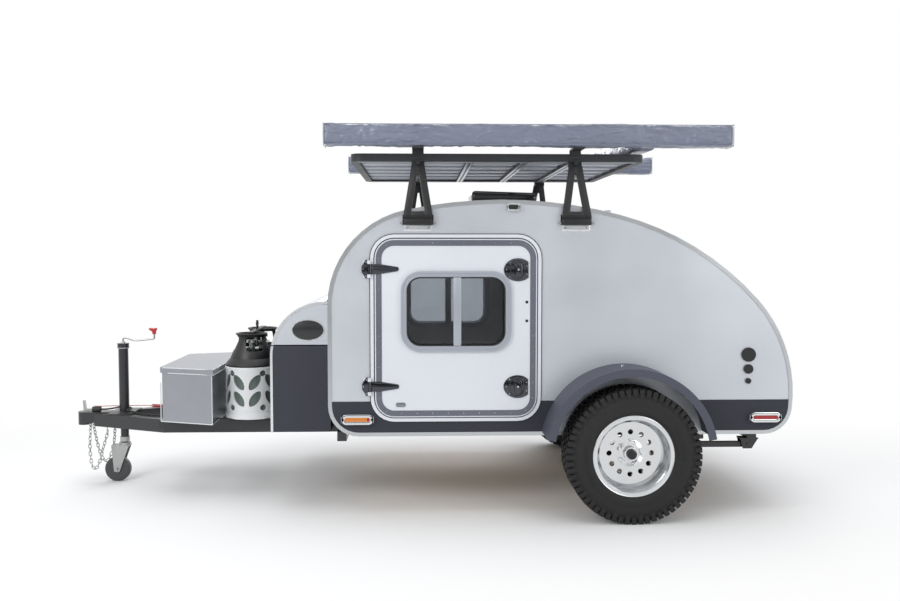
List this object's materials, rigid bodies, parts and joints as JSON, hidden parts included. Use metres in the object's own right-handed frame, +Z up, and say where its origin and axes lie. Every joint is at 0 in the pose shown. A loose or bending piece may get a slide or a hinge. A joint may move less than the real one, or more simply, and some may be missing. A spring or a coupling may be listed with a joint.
{
  "type": "teardrop trailer",
  "caption": "Teardrop camping trailer with side doors, galley hatch, nose box, toolbox, gas cylinders, roof rack and awnings, standing on its tongue jack.",
  "frame": {"origin": "on the ground under the middle of the trailer's outline, without its cables", "axes": "+Z up, the coupler toward -X, the left side toward -Y"},
  "size_m": [4.049, 2, 2.03],
  "materials": {
    "frame_paint": "semi-gloss dark grey paint",
    "coupler_paint": "semi-gloss black paint",
    "zinc": "bright zinc plate",
    "jack_paint": "satin black paint",
    "crank_steel": "bright steel rod with a red grip",
    "caster": "dark metal wheel",
    "tool_alu": "brushed sheet",
    "vessel_paint": "grey green gloss paint",
    "casing_white": "white casing",
    "black_steel": "satin black paint",
    "nose_dark": "charcoal with silver trim",
    "body_silver": "satin silver white sheet",
    "floor_wood": "sealed board",
    "cabinet_wood": "birch plywood",
    "mattress_cloth": "woven cover",
    "frame_alu": "satin anodised",
    "door_skin": "satin sheet with a grey screwed edge",
    "window_black": "black anodised",
    "window_glass": "grey tinted",
    "black_chrome": "black chrome",
    "band_dark": "textured charcoal coating",
    "trim_alu": "satin aluminium",
    "axle_black": "black paint",
    "rim_alu": "machined alloy",
    "tyre_rubber": "all terrain tread",
    "fender_coat": "textured dark coating",
    "rack_black": "textured black coating",
    "awning_cloth": "slate blue coated cloth",
    "vent_plastic": "smoked black",
    "lens_amber": "amber lens in a chrome bezel",
    "lens_red": "red lens in a chrome bezel",
    "lens_clear": "clear lens",
    "port_black": "black",
    "cable_black": "black jacket",
    "cable_red": "red coiled wire"
  },
  "bodies": {
    "trailer": {"chassis_frame": "frame_paint", "coupler": "coupler_paint", "coupler_latch": "zinc", "jack_tube": "jack_paint", "toolbox": "tool_alu", "cylinder_tray": "black_steel", "gas_cylinders": "vessel_paint", "cylinder_casings": "casing_white", "cylinder_collars": "black_steel", "nose_box": "nose_dark", "side_wall_left": "body_silver", "side_wall_right": "body_silver", "roof_shell": "body_silver", "cabin_floor": "floor_wood", "galley_cabinet": "cabinet_wood", "mattress": "mattress_cloth", "door_frames": "frame_alu", "lower_bands": "band_dark", "edge_trims": "trim_alu", "axle": "axle_black", "fenders": "fender_coat", "stabiliser_mounts": "axle_black", "roof_rack": "rack_black", "rack_towers": "rack_black", "awning_bags": "awning_cloth", "roof_vent": "vent_plastic", "amber_lamps": "lens_amber", "red_lamps": "lens_red", "porch_lamps": "lens_clear", "side_ports": "port_black", "safety_chains": "zinc", "wiring_cable": "cable_black", "cable_plug": "cable_black", "breakaway_cable": "cable_red"},
    "jack_leg": {"jack_leg": "jack_paint"},
    "jack_crank": {"jack_crank": "crank_steel"},
    "caster_fork": {"caster_fork": "zinc"},
    "caster_wheel": {"caster_wheel": "caster"},
    "toolbox_lid": {"toolbox_lid": "tool_alu"},
    "nose_box_lid": {"nose_box_lid": "body_silver"},
    "galley_hatch": {"galley_hatch": "body_silver"},
    "vent_lid": {"vent_lid": "vent_plastic"},
    "door_left": {"door_left": "door_skin", "window_frame_left": "window_black", "window_glass_left": "window_glass", "door_hardware_left": "black_chrome"},
    "door_right": {"door_right": "door_skin", "window_frame_right": "window_black", "window_glass_right": "window_glass", "door_hardware_right": "black_chrome"},
    "wheel_left": {"wheel_left": "rim_alu", "tyre_left": "tyre_rubber"},
    "wheel_right": {"wheel_right": "rim_alu", "tyre_right": "tyre_rubber"},
    "stabiliser_leg_left": {"stabiliser_leg_left": "axle_black"},
    "stabiliser_leg_right": {"stabiliser_leg_right": "axle_black"}
  },
  "joints": [
    {"name": "jack_slide", "type": "slide", "parent": "trailer", "child": "jack_leg", "axis": [0, 0, 1], "range_m": [0, 0.1]},
    {"name": "jack_crank_turn", "type": "hinge", "parent": "trailer", "child": "jack_crank", "pos_m": [-1.7525, 0, 0.832], "axis": [0, 0, 1], "continuous": true},
    {"name": "caster_swivel", "type": "hinge", "parent": "jack_leg", "child": "caster_fork", "pos_m": [-1.7525, 0, 0.226], "axis": [0, 0, 1], "continuous": true},
    {"name": "caster_roll", "type": "hinge", "parent": "caster_fork", "child": "caster_wheel", "pos_m": [-1.7955, 0, 0.075], "axis": [0, 1, 0], "continuous": true},
    {"name": "toolbox_lid_hinge", "type": "hinge", "parent": "trailer", "child": "toolbox_lid", "pos_m": [-1.4455, 0, 0.696], "axis": [0, -1, 0], "range_deg": [0, 95]},
    {"name": "nose_box_lid_hinge", "type": "hinge", "parent": "trailer", "child": "nose_box_lid", "pos_m": [-0.4675, 0, 1.119], "axis": [0, 1, 0], "range_deg": [0, 75]},
    {"name": "galley_hatch_hinge", "type": "hinge", "parent": "trailer", "child": "galley_hatch", "pos_m": [1.01981, 0, 1.59259], "axis": [0, -1, 0], "range_deg": [0, 62]},
    {"name": "vent_lid_hinge", "type": "hinge", "parent": "trailer", "child": "vent_lid", "pos_m": [0.7, 0, 1.67081], "axis": [0, 1, 0], "range_deg": [0, 13]},
    {"name": "door_left_hinge", "type": "hinge", "parent": "trailer", "child": "door_left", "pos_m": [-0.2355, -0.78, 0.981], "axis": [0, 0, -1], "range_deg": [0, 110]},
    {"name": "door_right_hinge", "type": "hinge", "parent": "trailer", "child": "door_right", "pos_m": [-0.2355, 0.78, 0.981], "axis": [0, 0, 1], "range_deg": [0, 110]},
    {"name": "wheel_left_spin", "type": "hinge", "parent": "trailer", "child": "wheel_left", "pos_m": [1.1045, -0.885, 0.345], "axis": [0, 1, 0], "continuous": true},
    {"name": "wheel_right_spin", "type": "hinge", "parent": "trailer", "child": "wheel_right", "pos_m": [1.1045, 0.885, 0.345], "axis": [0, 1, 0], "continuous": true},
    {"name": "stabiliser_left_pivot", "type": "hinge", "parent": "trailer", "child": "stabiliser_leg_left", "pos_m": [1.8065, -0.6, 0.33], "axis": [0, -1, 0], "range_deg": [0, 68]},
    {"name": "stabiliser_right_pivot", "type": "hinge", "parent": "trailer", "child": "stabiliser_leg_right", "pos_m": [1.8065, 0.6, 0.33], "axis": [0, -1, 0], "range_deg": [0, 68]}
  ]
}
